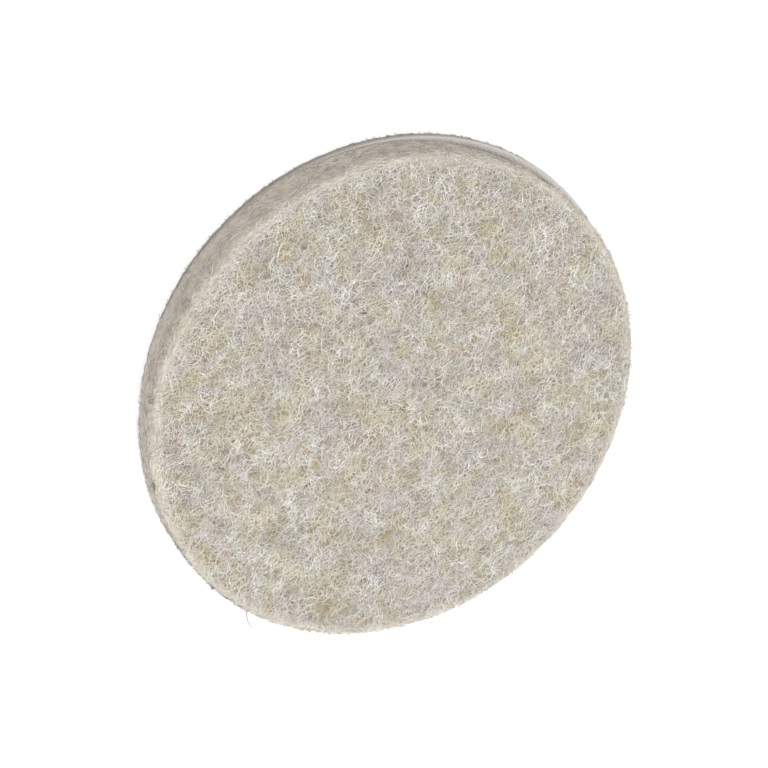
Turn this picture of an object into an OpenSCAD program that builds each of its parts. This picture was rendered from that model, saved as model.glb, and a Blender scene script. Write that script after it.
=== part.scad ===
// Thick wool felt polishing wheel with a brushed-loop backing, as used on a
// hook-faced backing pad. The wheel lies on its back: +Z is the wheel's own
// axis and points out of the polishing face, and the origin is on that axis,
// in the plane of the loop tips.

/* [Felt wheel] */
// Diameter of the felt
felt_d = 75; // [50:1:150]
// Thickness of the felt
felt_t = 5.9; // [4:0.1:12]
// Radius of the soft edge round the polishing face
face_edge_r = 1.1; // [0.4:0.1:1.8]
// Radius of the slight edge round the bonded face
back_edge_r = 0.3; // [0.1:0.1:0.6]

/* [Backing] */
// Diameter of the backing disc
backing_d = 75; // [50:1:150]
// Height of the brushed loops
pile_t = 1.2; // [0.6:0.1:2]
// Radius of the soft edge round the loop tips
pile_edge_r = 0.4; // [0.2:0.1:0.5]
// Thickness of the knitted ground cloth
cloth_t = 0.7; // [0.3:0.1:1]
// Thickness of the hot-melt film
film_t = 0.2; // [0.1:0.1:0.4]
// How far the film stays inside the edge of the felt
film_inset = 1.0; // [0.2:0.1:2]
// How far the backing was laid off centre, towards -X
lay_off_x = 0.9; // [0:0.1:1.5]
// How far the backing was laid off centre, towards +Y
lay_off_y = 0.2; // [0:0.1:1.5]

/* [Hidden] */
$fn = 180;
edge_fn = 48;
felt_r = felt_d / 2;
backing_r = backing_d / 2;
cloth_z = pile_t;
film_z = cloth_z + cloth_t;
felt_z = film_z + film_t;

// Half section of a disc whose lower outer edge is rounded
module round_edged_section(r, t, edge_r) {
    square([r - edge_r, t]);
    translate([0, edge_r]) square([r, t - edge_r]);
    translate([r - edge_r, edge_r]) circle(r = edge_r, $fn = edge_fn);
}

// Puts a backing layer where it was laid on the back of the felt
module laid(z) {
    translate([-lay_off_x, lay_off_y, z]) children();
}

module felt_wheel() {
    half_t = felt_t / 2;
    color("#c6beb0")
        translate([0, 0, felt_z + half_t])
            rotate_extrude() {
                mirror([0, 1])
                    translate([0, -half_t])
                        round_edged_section(felt_r, half_t, face_edge_r);
                translate([0, -half_t])
                    round_edged_section(felt_r, half_t, back_edge_r);
            }
}

module bond_film() {
    color("#b5a98f")
        translate([0, 0, film_z])
            cylinder(r = felt_r - film_inset, h = film_t);
}

module backing_cloth() {
    color("#d8d4cd")
        laid(cloth_z)
            cylinder(r = backing_r, h = cloth_t);
}

module loop_pile() {
    color("#b4ada2")
        laid(0)
            rotate_extrude()
                round_edged_section(backing_r, pile_t, pile_edge_r);
}

felt_wheel();
bond_film();
backing_cloth();
loop_pile();
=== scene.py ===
import math

import bmesh
import bpy
import numpy as np
from mathutils import Matrix, Vector, noise


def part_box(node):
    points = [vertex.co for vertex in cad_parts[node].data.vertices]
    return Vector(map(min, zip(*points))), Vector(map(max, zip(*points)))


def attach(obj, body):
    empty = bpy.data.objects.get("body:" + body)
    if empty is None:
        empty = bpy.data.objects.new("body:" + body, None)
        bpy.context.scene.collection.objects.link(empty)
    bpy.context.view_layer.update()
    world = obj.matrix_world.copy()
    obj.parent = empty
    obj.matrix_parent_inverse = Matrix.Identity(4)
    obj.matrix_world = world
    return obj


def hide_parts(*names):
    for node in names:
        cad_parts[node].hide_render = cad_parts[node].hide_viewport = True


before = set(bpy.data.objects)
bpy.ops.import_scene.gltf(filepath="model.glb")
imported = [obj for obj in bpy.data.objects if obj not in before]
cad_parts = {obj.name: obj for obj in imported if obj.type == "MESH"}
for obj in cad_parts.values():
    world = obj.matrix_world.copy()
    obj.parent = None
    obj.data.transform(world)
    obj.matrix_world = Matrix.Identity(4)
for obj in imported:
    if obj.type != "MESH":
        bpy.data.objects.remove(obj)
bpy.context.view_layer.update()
mm = 0.001


# --- Camera -------------------------------------------------------------
# A short telephoto lens looks down at the polishing face and past its near
# edge. It is rolled over, so that the wheel seems to float, tipped back.
camera_data = bpy.data.cameras.new("camera")
camera_data.lens = 120
camera_data.clip_start = 10 * mm
camera = bpy.data.objects.new("camera", camera_data)
bpy.context.scene.collection.objects.link(camera)
bpy.context.scene.camera = camera

camera_height = math.radians(55.0)
camera_roll = math.radians(135.1)
camera_distance = 367 * mm
aim = Vector((-0.25, -1.2, 3.1)) * mm
backwards = Vector((0, -math.cos(camera_height), math.sin(camera_height)))
camera.matrix_world = (
    Matrix.Translation(aim + backwards * camera_distance)
    @ (-backwards).to_track_quat("-Z", "Y").to_matrix().to_4x4()
    @ Matrix.Rotation(camera_roll, 4, "Z")
)


# --- Light table --------------------------------------------------------
# The wheel lies on an opal acrylic sheet lit from below, in an even white
# room, with one large soft box over it, so it casts hardly any shadow.
def linear(hex_colour):
    channels = [int(hex_colour[i : i + 2], 16) / 255 for i in (1, 3, 5)]
    return (
        *[c / 12.92 if c <= 0.04045 else ((c + 0.055) / 1.055) ** 2.4 for c in channels],
        1.0,
    )


def new_material(name, **inputs):
    """A Principled material, with plain values for the inputs named."""
    material = bpy.data.materials.new(name)
    material.use_nodes = True
    shader = material.node_tree.nodes["Principled BSDF"]
    for input_name, value in inputs.items():
        shader.inputs[input_name.replace("_", " ")].default_value = value
    return material


def keep(mesh, *materials):
    """Makes a finished mesh an object of the scene, in its material."""
    piece = bpy.data.objects.new(mesh.name, mesh)
    bpy.context.scene.collection.objects.link(piece)
    for material in materials:
        mesh.materials.append(material)
    return piece


acrylic = new_material(
    "opal_acrylic",
    Base_Color=linear("#7c7c7c"),
    Roughness=0.9,
    Specular_IOR_Level=0.0,
    Emission_Color=linear("#ffffff"),
    Emission_Strength=0.86,
)
bm = bmesh.new()
bmesh.ops.create_grid(bm, x_segments=1, y_segments=1, size=4.0)
table_mesh = bpy.data.meshes.new("light_table")
bm.to_mesh(table_mesh)
bm.free()
keep(table_mesh, acrylic)

room = bpy.data.worlds.new("white_room")
room.use_nodes = True
room.node_tree.nodes["Background"].inputs["Color"].default_value = linear("#ffffff")
room.node_tree.nodes["Background"].inputs["Strength"].default_value = 0.8
bpy.context.scene.world = room

soft_light = bpy.data.lights.new("soft_box", "AREA")
soft_light.shape = "DISK"
soft_light.size = 0.35
soft_light.energy = 4.95
soft_box = bpy.data.objects.new("soft_box", soft_light)
soft_box.location = (0.11, 0.02, 0.70)
soft_box.rotation_mode = "QUATERNION"
soft_box.rotation_quaternion = (-soft_box.location).to_track_quat("-Z", "Y")
bpy.context.scene.collection.objects.link(soft_box)
bpy.context.scene.view_settings.view_transform = "Standard"


# --- Felt wheel ---------------------------------------------------------
# A slab of natural wool, needled and pressed hard, then cut to a disc. The
# needles leave pits 1 to 2 mm apart. The rim shows the wool's layers, and its
# foot goes in and out a little, where the knife strayed.
wheel_low, wheel_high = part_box("felt_wheel")
wheel_radius = (wheel_high.x - wheel_low.x) / 2
face_edge = 1.1 * mm
back_edge = 0.3 * mm
nap = 0.3 * mm
felt_step = 0.4 * mm
felt_steps_round = 500
needle_spacing = 1.5 * mm
needle_drift = 0.25
pit_radius = 0.36 * mm
pit_depth = 0.42 * mm
faintest_pit = 0.5
lump_size, lump_height = 3.1 * mm, 0.08 * mm
tuft_size, tuft_height = 0.9 * mm, 0.07 * mm
layer_length, layer_thickness, layer_height = 9 * mm, 0.9 * mm, 0.05 * mm
drag_width, drag_length, drag_height = 1.1 * mm, 5 * mm, 0.03 * mm
bare_edge = 1.6 * mm
bare_edge_blend = 0.9 * mm
ragged_size, ragged_depth = 2.5 * mm, 0.5 * mm
stray_height = 3 * mm
knife_strays = ((203, 14, 0.45 * mm), (265, 40, -0.22 * mm))

core_radius = wheel_radius - 0.4 * nap
core_top = wheel_high.z - nap

# The needles' drift is the same each run only if the noise has a seed
pattern_seed = 75
noise.seed_set(pattern_seed)


def arc(centre_r, centre_z, radius, start, end, steps):
    """Points of an arc in a half section, as (distance from the axis, height)."""
    turns = [math.radians(start + (end - start) * i / steps) for i in range(steps + 1)]
    return [
        (centre_r + radius * math.cos(a), centre_z + radius * math.sin(a)) for a in turns
    ]


def line(start, end, step):
    """Even points of a straight stretch of a half section, without its end."""
    count = max(1, round(math.dist(start, end) / step))
    return [
        tuple(s + (e - s) * i / count for s, e in zip(start, end)) for i in range(count)
    ]


def spun(section, steps, centre=(0, 0, 0)):
    """Spins a half section about an upright axis into a closed mesh."""
    made = bmesh.new()
    points = [made.verts.new((centre[0] + r, centre[1], z)) for r, z in section]
    edges = [made.edges.new(pair) for pair in zip(points, points[1:])]
    bmesh.ops.spin(
        made,
        geom=points + edges,
        cent=centre,
        axis=(0, 0, 1),
        angle=2 * math.pi,
        steps=steps,
        use_merge=True,
    )
    bmesh.ops.remove_doubles(made, verts=made.verts, dist=0.002 * mm)
    bmesh.ops.recalc_face_normals(made, faces=made.faces)
    return made


def needle_pit(x, y):
    """How near a place is to a needle pit, from 0, far, to 1; some pits are faint."""
    place = Vector((x, y, 0)) / needle_spacing
    place += needle_drift * noise.noise_vector(place * 3)
    near, centres = noise.voronoi(place)
    strength = faintest_pit + (1 - faintest_pit) * noise.cell(centres[0] * 9)
    return strength * math.exp(-((near[0] * needle_spacing / pit_radius) ** 2))


def eased(share):
    """Rises smoothly from 0 to 1 as share does."""
    share = np.clip(share, 0, 1)
    return share * share * (3 - 2 * share)


def felt_relief(place):
    """How far the felt stands out or in at a point of its face."""
    lumps = lump_height * noise.fractal(place / lump_size, 1.0, 2.0, 3)
    apart = Vector((7, 3, 1))
    tufts = tuft_height * noise.fractal(place / tuft_size + apart, 0.8, 2.0, 2)
    return lumps + tufts - pit_depth * needle_pit(place.x, place.y)


def rim_relief(place):
    """The uneven layers of wool that the cut shows, and the knife's drag marks."""
    round_the_rim = math.atan2(place.y, place.x) * wheel_radius
    layer = Vector((round_the_rim / layer_length, place.z / layer_thickness, 5))
    drag = Vector((round_the_rim / drag_width, place.z / drag_length, 9))
    return layer_height * noise.fractal(layer, 0.8, 2.0, 3) + (
        drag_height * noise.fractal(drag, 0.8, 2.0, 3)
    )


def undercut(turn, height):
    """How far in the rim's foot is cut, from each stray's middle, width and depth."""
    cut = 0
    for degrees, width, depth in knife_strays:
        aside = (np.degrees(turn) - degrees + 180) % 360 - 180
        cut = cut + depth * np.exp(-((aside / width) ** 2))
    return cut * eased(1 - (height - wheel_low.z) / stray_height)


rim_line = core_radius - face_edge
section = (
    line((0, core_top), (rim_line, core_top), felt_step)
    + arc(rim_line, core_top - face_edge, face_edge, 90, 0, 5)
    + line(
        (core_radius, core_top - face_edge - felt_step),
        (core_radius, wheel_low.z + back_edge),
        felt_step,
    )
    + arc(core_radius - back_edge, wheel_low.z + back_edge, back_edge, 0, -90, 2)
    + line((core_radius - 1 * mm, wheel_low.z), (0, wheel_low.z), 4 * felt_step)
    + [(0, wheel_low.z)]
)
felt_bm = spun(section, felt_steps_round)
# The pit attribute holds how much painted shade the needle pits get: the hollows are
# painted darker
pit_shade_layer = felt_bm.verts.layers.float.new("pit")
rim_layer = felt_bm.verts.layers.float.new("rim")
edge_layer = felt_bm.verts.layers.float.new("edge")
for v in felt_bm.verts:
    if v.normal.z > -0.5:
        rim_share = 1 - eased(v.normal.z * 1.5 - 0.4)
        v[pit_shade_layer] = (1 - rim_share) * needle_pit(v.co.x, v.co.y)
        v[rim_layer] = rim_share
        ragged = ragged_depth * noise.noise(v.co / ragged_size)
        from_edge = wheel_radius - math.hypot(v.co.x, v.co.y) + ragged
        v[edge_layer] = eased((bare_edge - from_edge) / bare_edge_blend)
        relief = (1 - rim_share) * felt_relief(v.co) + rim_share * rim_relief(v.co)
        turn = math.atan2(v.co.y, v.co.x)
        v.co += v.normal * (relief - rim_share * float(undercut(turn, v.co.z)))
felt_mesh = bpy.data.meshes.new("felt_body")
felt_bm.to_mesh(felt_mesh)
felt_bm.free()
felt_mesh.shade_smooth()


# The numbers of a mix node's sockets when it mixes colours
mix_share, mix_first, mix_second, mix_result = 0, 6, 7, 2


def add_node(material, kind, links=None, stops=(), **settings):
    """Adds a shader node. Settings name its properties or inputs. Links give its
    inputs, by name or number, another node's output or a value. Stops are the
    (position, hex colour) marks of a colour ramp."""
    tree = material.node_tree
    node = tree.nodes.new(kind)
    for name, value in settings.items():
        if hasattr(node, name):
            setattr(node, name, value)
        else:
            node.inputs[name.replace("_", " ")].default_value = value
    for name, source in (links or {}).items():
        if isinstance(source, bpy.types.NodeSocket):
            tree.links.new(source, node.inputs[name])
        else:
            node.inputs[name].default_value = source
    if stops:
        marks = node.color_ramp.elements
        while len(marks) < len(stops):
            marks.new(0.5)
        for mark, (position, colour) in zip(marks, stops):
            mark.position = position
            mark.color = linear(colour)
    return node


def in_millimetres(material):
    """Object coordinates in millimetres, so that a texture's scale is 1 / its size."""
    place = add_node(material, "ShaderNodeTexCoord").outputs["Object"]
    return add_node(
        material, "ShaderNodeMapping", {"Vector": place}, Scale=(1000, 1000, 1000)
    ).outputs["Vector"]


# Needled wool felt: matt, mottled with soft patches of yellow and mauve wool
# a few millimetres across, darker where it was cut. Under the loose fibre mat it is
# painted darker, as painted shade beneath the fibres, and darker still in the
# needle pits, as painted shade in the hollows.
wool_felt = new_material(
    "needled_wool_felt",
    Specular_IOR_Level=0.2,
    Sheen_Weight=0.15,
    Sheen_Roughness=0.6,
)
shader = wool_felt.node_tree.nodes["Principled BSDF"]
place = in_millimetres(wool_felt)
patches = add_node(
    wool_felt, "ShaderNodeTexNoise", {"Vector": place}, Scale=0.21, Detail=3.0
).outputs["Fac"]
strands = add_node(
    wool_felt,
    "ShaderNodeTexNoise",
    {"Vector": place},
    Scale=2.2,
    Detail=5.0,
    Roughness=0.7,
    Distortion=2.5,
).outputs["Fac"]
layers = add_node(
    wool_felt, "ShaderNodeTexNoise", {"Vector": place}, Scale=0.45, Detail=3.0
).outputs["Fac"]
# Patches of yellow and mauve wool, painted darker than the same wool on the shoulder and
# in the fibres: painted shade beneath the loose fibre mat
mat_hue_and_shade = add_node(
    wool_felt,
    "ShaderNodeValToRGB",
    {"Fac": patches},
    ((0.36, "#a19072"), (0.46, "#a39a86"), (0.54, "#a29a91"), (0.64, "#9a9089")),
).outputs["Color"]
strand_shade = add_node(
    wool_felt,
    "ShaderNodeValToRGB",
    {"Fac": strands},
    ((0.32, "#6a6153"), (0.62, "#ffffff")),
).outputs["Color"]
shaded_mat = add_node(
    wool_felt,
    "ShaderNodeMix",
    {mix_share: 0.8, mix_first: mat_hue_and_shade, mix_second: strand_shade},
    data_type="RGBA",
    blend_type="MULTIPLY",
).outputs[mix_result]
# Painted shade in the needle pits: the felt is painted dark brown where its hollows are
pits = add_node(wool_felt, "ShaderNodeAttribute", attribute_name="pit").outputs["Fac"]
pit_shaded_mat = add_node(
    wool_felt,
    "ShaderNodeMix",
    {mix_share: pits, mix_first: shaded_mat, mix_second: linear("#483a25")},
    data_type="RGBA",
).outputs[mix_result]
edge = add_node(wool_felt, "ShaderNodeAttribute", attribute_name="edge").outputs["Fac"]
shoulder_colour = add_node(
    wool_felt,
    "ShaderNodeValToRGB",
    {"Fac": patches},
    ((0.35, "#bab2a4"), (0.62, "#c4beb4")),
).outputs["Color"]
face_colour = add_node(
    wool_felt,
    "ShaderNodeMix",
    {mix_share: edge, mix_first: pit_shaded_mat, mix_second: shoulder_colour},
    data_type="RGBA",
).outputs[mix_result]
rim = add_node(wool_felt, "ShaderNodeAttribute", attribute_name="rim").outputs["Fac"]
cut_colour = add_node(
    wool_felt,
    "ShaderNodeValToRGB",
    {"Fac": layers},
    ((0.38, "#bfb5a9"), (0.46, "#c8c1b5"), (0.54, "#c3bab0"), (0.62, "#cdc6bb")),
).outputs["Color"]
rim_colour = add_node(
    wool_felt,
    "ShaderNodeMix",
    {mix_share: 0.25, mix_first: cut_colour, mix_second: strand_shade},
    data_type="RGBA",
    blend_type="MULTIPLY",
).outputs[mix_result]
wool_colour = add_node(
    wool_felt,
    "ShaderNodeMix",
    {mix_share: rim, mix_first: face_colour, mix_second: rim_colour},
    data_type="RGBA",
).outputs[mix_result]
wool_felt.node_tree.links.new(wool_colour, shader.inputs["Base Color"])
roughness = add_node(
    wool_felt, "ShaderNodeMapRange", {"Value": strands}, To_Min=1.0, To_Max=0.8
)
wool_felt.node_tree.links.new(roughness.outputs["Result"], shader.inputs["Roughness"])
bump = add_node(
    wool_felt, "ShaderNodeBump", {"Height": strands}, Strength=0.6, Distance=0.15 * mm
)
wool_felt.node_tree.links.new(bump.outputs["Normal"], shader.inputs["Normal"])

felt_body = keep(felt_mesh, wool_felt)
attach(felt_body, "root")
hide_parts("felt_wheel")


# --- Face fibres --------------------------------------------------------
# The wool's loose ends lie over the face as a mat of fine crimped fibres,
# drawn into the needle pits. They are 0.056 mm thick, about twice the real
# width, so that they show. Each colour of wool in the blend is one piece.
random = np.random.default_rng(pattern_seed)
outline = bpy.data.curves.new("fibre_outline", "CURVE")
corners = outline.splines.new("POLY")
corners.points.add(2)
corners.use_cyclic_u = True
for corner, turn in zip(corners.points, (0, 120, 240)):
    corner.co = (math.cos(math.radians(turn)), math.sin(math.radians(turn)), 0, 1)
fibre_outline = bpy.data.objects.new("fibre_outline", outline)


def strands_mesh(name, places, thickness, taper):
    """Makes one mesh of many three-sided strands, each through a row of places."""
    curve = bpy.data.curves.new(name, "CURVE")
    curve.dimensions = "3D"
    curve.bevel_mode = "OBJECT"
    curve.bevel_object = fibre_outline
    curve.use_fill_caps = True
    count = places.shape[1]
    row = np.ones((count, 4))
    for strand, thick in zip(places, thickness):
        spline = curve.splines.new("POLY")
        spline.points.add(count - 1)
        row[:, :3] = strand
        spline.points.foreach_set("co", row.ravel())
        spline.points.foreach_set("radius", taper * thick / 2)
    drawn = bpy.data.objects.new(name, curve)
    bpy.context.scene.collection.objects.link(drawn)
    graph = bpy.context.evaluated_depsgraph_get()
    mesh = bpy.data.meshes.new_from_object(drawn.evaluated_get(graph), depsgraph=graph)
    bpy.data.objects.remove(drawn)
    bpy.data.curves.remove(curve)
    mesh.name = name
    mesh.materials.clear()
    mesh.shade_smooth()
    return mesh


rim_drop = wheel_high.z - face_edge - wheel_low.z - 0.1 * mm


def wrapped(flat, height):
    """Lays points of a flat sheet over the face, round its edge and down the rim."""
    out = np.hypot(flat[..., 0], flat[..., 1])
    turn = np.arctan2(flat[..., 1], flat[..., 0])
    edge_line = wheel_radius - face_edge
    past = np.maximum(out - edge_line, 0)
    bend = np.clip(past / face_edge, 0, math.pi / 2)
    down = np.clip(past - face_edge * math.pi / 2, 0, rim_drop)
    r = np.minimum(out, edge_line) + (face_edge + height) * np.sin(bend)
    z = wheel_high.z - face_edge + (face_edge + height) * np.cos(bend) - down
    r -= undercut(turn, z) * np.sin(bend)
    return np.stack([r * np.cos(turn), r * np.sin(turn), z], -1)


def grown(starts, headings, length, count, wander, crimp):
    """Paths of crimped fibres over a flat sheet, count points each."""
    n = len(starts)
    step = length * random.uniform(0.6, 1.5, (n, 1)) / (count - 1)
    bend = random.normal(0, wander / 2, (n, 1)) + random.normal(0, wander, (n, count))
    wave = np.arange(count) * random.uniform(1.1, 2.0, (n, 1))
    wave = crimp * np.sin(wave + random.uniform(0, 2 * math.pi, (n, 1)))
    turn = headings[:, None] + np.cumsum(bend, 1) + wave
    path = np.stack([np.cos(turn), np.sin(turn)], -1) * step[..., None]
    path = np.cumsum(path, 1)
    return starts[:, None, :] + path - path[:, count // 2, None]


def ripple(n, count, size):
    """Small ups and downs along each fibre."""
    wave = np.arange(count) * random.uniform(0.8, 1.8, (n, 1))
    return size * np.sin(wave + random.uniform(0, 2 * math.pi, (n, 1)))


def scattered(n, inner, outer):
    """Even random places on a flat ring."""
    r = np.sqrt(random.uniform(inner * inner, outer * outer, n))
    turn = random.uniform(0, 2 * math.pi, n)
    return np.stack([r * np.cos(turn), r * np.sin(turn)], -1)


def field(places, size, layer):
    """A smooth random value at each place, about -1 to 1, in patches of that size."""
    return np.array(
        [noise.noise(Vector((x / size, y / size, layer))) * 1.6 for x, y in places]
    )


def pits_near(flat):
    """How near each place is to a needle pit."""
    near = [needle_pit(x, y) for x, y in flat.reshape(-1, 2)]
    return np.array(near).reshape(flat.shape[:-1])


def tapered(along):
    """How thick a fibre is from end, -1, to end, 1, as a share of its full width."""
    return np.clip(1.3 - along**6, 0.3, 1)


def keep_wool(mesh, wool):
    """Keeps a piece of wool fibres, which stay on the felt."""
    piece = keep(mesh, wool)
    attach(piece, "root")


fibre_width = 0.056 * mm
fibre_length = 2 * mm
fibre_ripple = 0.05 * mm
fibre_points = 5
tip_dip = 0.15 * mm
pit_pull = 0.3 * mm
mat_depth = 0.42 * mm
mat_lift = 0.05 * mm
mat_inset = 0.2 * mm
mat_fade = 1.3 * mm
flow_patch = 4 * mm
yellow_patch, pale_patch, tan_patch = 3.5 * mm, 2.4 * mm, 1.6 * mm
tries = 56000

starts = scattered(tries, 0, wheel_radius - mat_inset)
from_edge = wheel_radius - np.hypot(starts[:, 0], starts[:, 1])
from_edge += ragged_depth * field(starts, ragged_size, 0)
kept = eased(from_edge / mat_fade) * (1 - 0.9 * pits_near(starts))
starts = starts[random.uniform(0, 1, tries) < kept]
face_count = len(starts)
flow = math.pi * field(starts, flow_patch, 1.5)
headings = flow + random.normal(0, 1.2, face_count)
flat = grown(starts, headings, fibre_length, fibre_points, wander=0.5, crimp=0.6)
along = np.linspace(-1, 1, fibre_points)
level = random.uniform(-mat_depth, mat_lift, face_count)
height = level[:, None] + ripple(face_count, fibre_points, fibre_ripple)
height -= tip_dip * along**4 + pit_pull * pits_near(flat)
fibre_taper = tapered(along)
thickness = fibre_width * random.uniform(0.7, 1.3, face_count)

# Shares of each wool in the blend, which vary from place to place
yellow = field(starts, yellow_patch, 4.5)
pale = field(starts, pale_patch, 8.5)
tan = field(starts, tan_patch, 2.5)
shares = {
    "cream": np.full(face_count, 1.0),
    "yellow": 0.45 * np.exp(2.8 * yellow - 0.5 * pale),
    "mauve": 0.45 * np.exp(-2.8 * yellow),
    "grey": 0.45 * np.exp(-1.3 * pale),
    "white": 0.42 * np.exp(1.3 * pale),
    "tan": 0.07 * np.exp(2.6 * tan - 1.0 * pale),
}
wool_colours = {
    "cream": "#e3e1d6",
    "yellow": "#dfd9c5",
    "mauve": "#ded7d5",
    "grey": "#bbb8af",
    "white": "#f8f8f8",
    "tan": "#c4ae88",
}
bounds = np.cumsum(np.stack(list(shares.values()), 1), 1)
pick = random.uniform(0, bounds[:, -1])
chosen = (pick[:, None] > bounds).sum(1)
piece_limit = 5400
places = wrapped(flat, height)
for index, (name, colour) in enumerate(wool_colours.items()):
    wool = new_material(
        name + "_wool",
        Base_Color=linear(colour),
        Roughness=0.75,
        Specular_IOR_Level=0.3,
    )
    own = np.flatnonzero(chosen == index)
    for part in range(math.ceil(len(own) / piece_limit)):
        some = own[part * piece_limit : (part + 1) * piece_limit]
        piece_name = f"{name}_fibres_{part + 1}"
        mesh = strands_mesh(piece_name, places[some], thickness[some], fibre_taper)
        keep_wool(mesh, wool)


# --- Long fibres --------------------------------------------------------
# A few long guard hairs, whiter and stiffer than the rest, lie loose on top,
# and one hangs over the edge. Nothing but the tangle holds them.
hair_width = 0.065 * mm
hair_length = 5 * mm
hair_lift = 0.06 * mm
hair_tip_dip = 0.12 * mm
hair_count = 200
hair_points = 12
starts = scattered(hair_count, 0, wheel_radius - hair_length / 2)
headings = random.uniform(0, 2 * math.pi, hair_count)
flat = grown(starts, headings, hair_length, hair_points, wander=0.22, crimp=0.25)
along = np.linspace(-1, 1, hair_points)
height = hair_lift + ripple(hair_count, hair_points, fibre_ripple)
height -= hair_tip_dip * along**4
places = wrapped(flat, height)
guard_hair = new_material(
    "guard_hair", Base_Color=linear("#e9e7e1"), Roughness=0.6, Specular_IOR_Level=0.4
)
thickness = np.full(hair_count, hair_width)
keep_wool(strands_mesh("long_fibres", places, thickness, tapered(along)), guard_hair)

# The one that hangs over is coarser and greyer. From its root it bends, then ends
stray_width = 0.2 * mm
root_turn = math.radians(10.8)
root = Vector((math.cos(root_turn), math.sin(root_turn), 0)) * (wheel_radius - mat_inset)
root.z = wheel_high.z - 0.6 * face_edge
bend = np.array((1.27, 0.98, 0.08)) * mm
tip = np.array((1.48, 2.99, -0.2)) * mm
t = np.linspace(0, 1, hair_points)
hanging = np.array(root) + (2 * t * (1 - t))[:, None] * bend + (t * t)[:, None] * tip
stray_wool = new_material("stray_wool", Base_Color=linear("#97928a"), Roughness=0.8)
stray_taper = np.linspace(1, 0.6, hair_points)
stray = strands_mesh("stray_fibre", hanging[None], [stray_width], stray_taper)
keep_wool(stray, stray_wool)


# --- Rim fibres ---------------------------------------------------------
# Cut ends and combed fibres lie flat round the rim, along the wool's layers,
# and over the shoulder, where the felt is bare of the looser mat.
combed_width = 1.2 * fibre_width
combed_points = 4
combed_depth = 0.12 * mm
combed_lift = 0.03 * mm
combed_ripple = 0.04 * mm
combed_tip_dip = 0.1 * mm


def combed(name, colour, count, start, end, length, spread):
    """Makes a piece of fibres that lie round the wheel, in a ring of the sheet."""
    starts = scattered(count, start, end)
    round_the_rim = np.arctan2(starts[:, 1], starts[:, 0]) + math.pi / 2
    headings = round_the_rim + random.normal(0, spread, count)
    flat = grown(starts, headings, length, combed_points, wander=0.3, crimp=0.4)
    along = np.linspace(-1, 1, combed_points)
    height = random.uniform(-combed_depth, combed_lift, (count, 1))
    height = height + ripple(count, combed_points, combed_ripple)
    height -= combed_tip_dip * along**4
    wool = new_material(name + "_wool", Base_Color=linear(colour), Roughness=0.8)
    mesh = strands_mesh(
        name + "_fibres",
        wrapped(flat, height),
        combed_width * random.uniform(0.7, 1.3, count),
        tapered(along),
    )
    keep_wool(mesh, wool)


shoulder = wheel_radius - face_edge
rim_end = shoulder + face_edge * math.pi / 2 + rim_drop
over_edge = (shoulder - 1 * mm, shoulder + 0.8 * mm)
down_rim = (shoulder + 0.5 * mm, rim_end)
combed("shoulder", "#d8d2c8", 1600, *over_edge, 2.2 * mm, 0.9)
# The rim's wool is painted greyer than the face's: partly the cut wool's own tone,
# partly painted shade of the rim turned from the light
combed("rim_taupe_shaded", "#c6bcb0", 3400, *down_rim, 1.8 * mm, 0.6)
combed("rim_pale", "#dfd9cf", 3400, *down_rim, 1.8 * mm, 0.6)

# Short ends that stand out of the rim in tufts, more of them on its rougher side
fuzz_width = 0.06 * mm
fuzz_reach = 0.17 * mm
fuzz_spread = 0.06 * mm
fuzz_depth = 1 * mm
fuzz_inset = 0.15 * mm
fuzz_patch = 2 * mm
fuzz_tries = 9000
fuzz_points = 3
rough_side = 0.9
turn = random.uniform(0, 2 * math.pi, fuzz_tries)
on_rim = wheel_radius * np.stack([np.cos(turn), np.sin(turn)], -1)
tufted = 0.28 + 0.4 * np.cos(turn - rough_side) + 0.5 * field(on_rim, fuzz_patch, 3.5)
turn = turn[random.uniform(0, 1, fuzz_tries) < eased(tufted)]
fuzz_count = len(turn)
lean = random.normal(0, 0.5, (fuzz_count, 3)) * (0.6, 0.6, 0.4)
outwards = np.stack([np.cos(turn), np.sin(turn), np.full(fuzz_count, 0.1)], -1) + lean
root_height = wheel_high.z - 0.5 * face_edge - random.exponential(fuzz_depth, fuzz_count)
root_height = np.maximum(root_height, wheel_low.z)
root_radius = wheel_radius - fuzz_inset - undercut(turn, root_height)
roots = np.stack(
    [root_radius * np.cos(turn), root_radius * np.sin(turn), root_height], -1
)
reach = random.gamma(1.5, fuzz_spread, fuzz_count) + fuzz_reach
t = np.linspace(0, 1, fuzz_points)
curl = random.normal(0, 0.25, (fuzz_count, 3)) * reach[:, None]
places = (
    roots[:, None, :]
    + outwards[:, None, :] * (reach[:, None] * t)[..., None]
    + curl[:, None, :] * (t * t)[:, None]
)
# The ends are painted dark grey-brown, far darker than the wool: painted shade of thin
# hairs in shadow at the rim
shaded = new_material("shaded_cut_wool_ends", Base_Color=linear("#5d564d"), Roughness=0.9)
thickness = fuzz_width * random.uniform(0.7, 1.2, fuzz_count)
fuzz_taper = np.linspace(1, 0.5, fuzz_points)
keep_wool(strands_mesh("rim_fuzz", places, thickness, fuzz_taper), shaded)


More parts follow.
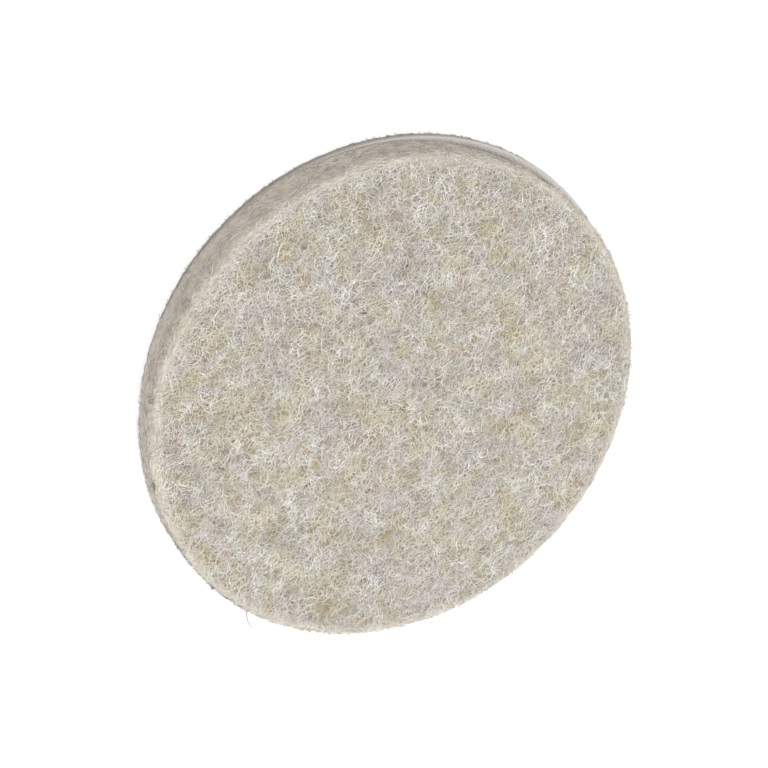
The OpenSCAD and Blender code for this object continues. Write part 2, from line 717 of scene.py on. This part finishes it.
# --- Bond film ----------------------------------------------------------
# A hot-melt film, melted between felt and backing under a press. It stops
# short of the edge, so a thin dark gap shows there round the wheel.
film = new_material("hot_melt_adhesive", Specular_IOR_Level=0.5)
shader = film.node_tree.nodes["Principled BSDF"]
place = in_millimetres(film)
flowed = add_node(
    film, "ShaderNodeTexNoise", {"Vector": place}, Scale=1.2, Detail=3.0
).outputs["Fac"]
film_colour = add_node(
    film, "ShaderNodeValToRGB", {"Fac": flowed}, ((0.35, "#a8997b"), (0.65, "#bfb397"))
).outputs["Color"]
film.node_tree.links.new(film_colour, shader.inputs["Base Color"])
gloss = add_node(
    film, "ShaderNodeMapRange", {"Value": flowed}, To_Min=0.25, To_Max=0.5
)
film.node_tree.links.new(gloss.outputs["Result"], shader.inputs["Roughness"])
bump = add_node(
    film, "ShaderNodeBump", {"Height": flowed}, Strength=0.4, Distance=0.05 * mm
)
film.node_tree.links.new(bump.outputs["Normal"], shader.inputs["Normal"])
film_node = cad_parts["bond_film"]
film_node.data.materials.clear()
film_node.data.materials.append(film)


# --- Backing cloth ------------------------------------------------------
# A thin warp-knitted polyester ground cloth holds the loops. It was cut as a
# disc of the wheel's own size and pressed on slightly off centre.
cloth_low, cloth_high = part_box("backing_cloth")
backing_radius = (cloth_high.x - cloth_low.x) / 2
backing_centre = (cloth_low + cloth_high) / 2
cloth_edge = 0.2 * mm
cloth_steps_round = 480
fray_size, fray_depth = 0.7 * mm, 0.05 * mm

section = (
    line((0, cloth_high.z), (backing_radius - cloth_edge, cloth_high.z), 4 * mm)
    + arc(
        backing_radius - cloth_edge, cloth_high.z - cloth_edge, cloth_edge, 90, 0, 3
    )
    + arc(
        backing_radius - cloth_edge, cloth_low.z + cloth_edge, cloth_edge, 0, -90, 3
    )
    + line((backing_radius - 2 * cloth_edge, cloth_low.z), (0, cloth_low.z), 4 * mm)
    + [(0, cloth_low.z)]
)
cloth_bm = spun(section, cloth_steps_round, (backing_centre.x, backing_centre.y, 0))
# The cut attribute marks the cloth's side, which is painted darker: painted shade
side_shade_layer = cloth_bm.verts.layers.float.new("cut")
for v in cloth_bm.verts:
    v[side_shade_layer] = eased(1.4 * math.hypot(v.normal.x, v.normal.y) - 0.4)
    if math.hypot(v.normal.x, v.normal.y) > 0.3:
        v.co += v.normal * fray_depth * noise.fractal(v.co / fray_size, 1.0, 2.0, 2)
cloth_mesh = bpy.data.meshes.new("backing_cloth_sheet")
cloth_bm.to_mesh(cloth_mesh)
cloth_bm.free()
cloth_mesh.shade_smooth()

# Knitted polyester: off-white, slightly shiny yarn in rows of fine stitches,
# painted darker round the edge as painted shade on the cloth's side. A wave
# texture of scale 1 repeats every 0.314 mm here.
wave_repeat = 0.314
wale_spacing = 0.45
course_spacing = wale_spacing / 1.4
knitted = new_material(
    "knitted_polyester",
    Specular_IOR_Level=0.35,
    Sheen_Weight=0.2,
    Sheen_Roughness=0.4,
)
shader = knitted.node_tree.nodes["Principled BSDF"]
place = in_millimetres(knitted)
wales = add_node(
    knitted,
    "ShaderNodeTexWave",
    {"Vector": place},
    bands_direction="X",
    Scale=wave_repeat / wale_spacing,
    Distortion=0.6,
    Detail=1.0,
).outputs["Fac"]
courses = add_node(
    knitted,
    "ShaderNodeTexWave",
    {"Vector": place},
    bands_direction="Y",
    Scale=wave_repeat / course_spacing,
    Distortion=0.6,
    Detail=1.0,
).outputs["Fac"]
stitches = add_node(
    knitted, "ShaderNodeMath", {0: wales, 1: courses}, operation="MULTIPLY"
).outputs["Value"]
knit_colour = add_node(
    knitted,
    "ShaderNodeValToRGB",
    {"Fac": stitches},
    ((0.0, "#ddd8d1"), (0.6, "#f6f2ed")),
).outputs["Color"]
# Painted shade: the cloth's side is mixed to a darker grey-beige than its top
cut = add_node(knitted, "ShaderNodeAttribute", attribute_name="cut").outputs["Fac"]
knit_and_side_shade = add_node(
    knitted,
    "ShaderNodeMix",
    {mix_share: cut, mix_first: knit_colour, mix_second: linear("#a89f94")},
    data_type="RGBA",
).outputs[mix_result]
knitted.node_tree.links.new(knit_and_side_shade, shader.inputs["Base Color"])
yarn = add_node(
    knitted, "ShaderNodeMapRange", {"Value": stitches}, To_Min=0.85, To_Max=0.6
)
knitted.node_tree.links.new(yarn.outputs["Result"], shader.inputs["Roughness"])
bump = add_node(
    knitted, "ShaderNodeBump", {"Height": stitches}, Strength=0.8, Distance=0.12 * mm
)
knitted.node_tree.links.new(bump.outputs["Normal"], shader.inputs["Normal"])

cloth = keep(cloth_mesh, knitted)
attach(cloth, "root")
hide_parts("backing_cloth")


# --- Loop pile ----------------------------------------------------------
# Thousands of fine polyester loops stand out of the ground cloth. They were
# brushed, so they lean every way and tangle into a soft nap that hooks grip.
pile_low, pile_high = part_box("loop_pile")
nap_bed_depth = 0.95 * mm
bed_low = pile_high.z - nap_bed_depth
bed_radius = backing_radius - 0.12 * mm
bed_bevel = 0.15 * mm
bed_steps_round = 360
bed_lump_size, bed_lump_height = 0.8 * mm, 0.1 * mm
section = (
    line((0, pile_high.z), (bed_radius, pile_high.z), 6 * mm)
    + [(bed_radius, pile_high.z), (bed_radius, bed_low + bed_bevel)]
    + line((bed_radius - bed_bevel, bed_low), (0, bed_low), bed_lump_size)
    + [(0, bed_low)]
)
bed_bm = spun(section, bed_steps_round, (backing_centre.x, backing_centre.y, 0))
for v in bed_bm.verts:
    if v.normal.z < 0.5:
        lump = bed_lump_height * noise.fractal(v.co / bed_lump_size, 1.0, 2.0, 3)
        v.co += v.normal * lump
bed_mesh = bpy.data.meshes.new("loop_pile_bed")
bed_bm.to_mesh(bed_mesh)
bed_bm.free()
bed_mesh.shade_smooth()

# Brushed polyester, deep in the nap: painted grey-beige and darker between the loops, as
# painted shade within the pile
brushed = new_material(
    "brushed_polyester_nap", Specular_IOR_Level=0.25, Sheen_Weight=0.3
)
shader = brushed.node_tree.nodes["Principled BSDF"]
place = in_millimetres(brushed)
fuzz = add_node(
    brushed,
    "ShaderNodeTexNoise",
    {"Vector": place},
    Scale=2.5,
    Detail=4.0,
    Distortion=2.0,
).outputs["Fac"]
nap_shade_colour = add_node(
    brushed, "ShaderNodeValToRGB", {"Fac": fuzz}, ((0.35, "#8d867b"), (0.65, "#a69f94"))
).outputs["Color"]
brushed.node_tree.links.new(nap_shade_colour, shader.inputs["Base Color"])
softness = add_node(
    brushed, "ShaderNodeMapRange", {"Value": fuzz}, To_Min=0.95, To_Max=0.75
)
brushed.node_tree.links.new(softness.outputs["Result"], shader.inputs["Roughness"])
bump = add_node(
    brushed, "ShaderNodeBump", {"Height": fuzz}, Strength=0.8, Distance=0.15 * mm
)
brushed.node_tree.links.new(bump.outputs["Normal"], shader.inputs["Normal"])
bed = keep(bed_mesh, brushed)
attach(bed, "root")
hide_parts("loop_pile")

loop_count = 5000
loop_points = 6
loop_width = 0.075 * mm
narrowest_loop, widest_loop = 0.15 * mm, 0.4 * mm
loop_lean = 0.25 * mm
edge_share = 0.3
edge_band = 1.2 * mm
edge_loops = round(loop_count * edge_share)
last_root = backing_radius - 0.1 * mm
last_loop = backing_radius - 0.02 * mm
roots = np.concatenate(
    [
        scattered(loop_count - edge_loops, 0, last_root),
        scattered(edge_loops, backing_radius - edge_band, last_root),
    ]
)
across = random.uniform(0, 2 * math.pi, loop_count)
across = np.stack([np.cos(across), np.sin(across)], -1)
across *= random.uniform(narrowest_loop, widest_loop, (loop_count, 1))
lean = random.normal(0, loop_lean, (loop_count, 2))
stand = (pile_high.z - pile_low.z) * random.uniform(0.6, 1.0, loop_count)
stand -= 0.5 * loop_width
t = np.linspace(0, 1, loop_points)
rise = np.sin(math.pi * t)
spread = (2 * t - 1) * (0.5 + rise)
flat = (
    roots[:, None, :]
    + across[:, None, :] * spread[:, None]
    + lean[:, None, :] * rise[:, None]
)
out = np.hypot(flat[..., 0], flat[..., 1])
flat *= np.minimum(1, last_loop / out)[..., None]
places = np.stack(
    [
        backing_centre.x + flat[..., 0],
        backing_centre.y + flat[..., 1],
        pile_high.z - stand[:, None] * rise,
    ],
    -1,
)
# The loops are painted grey-beige, darker than the off-white cloth they stand out of:
# painted shade within the pile
shaded_loop_yarn = new_material(
    "polyester_loops",
    Base_Color=linear("#aaa398"),
    Roughness=0.55,
    Specular_IOR_Level=0.4,
)
thickness = loop_width * random.uniform(0.8, 1.2, loop_count)
half = loop_count // 2
for number, part in enumerate((slice(0, half), slice(half, None)), 1):
    mesh = strands_mesh(
        f"pile_loops_{number}", places[part], thickness[part], np.ones(loop_points)
    )
    piece = keep(mesh, shaded_loop_yarn)
    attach(piece, "root")
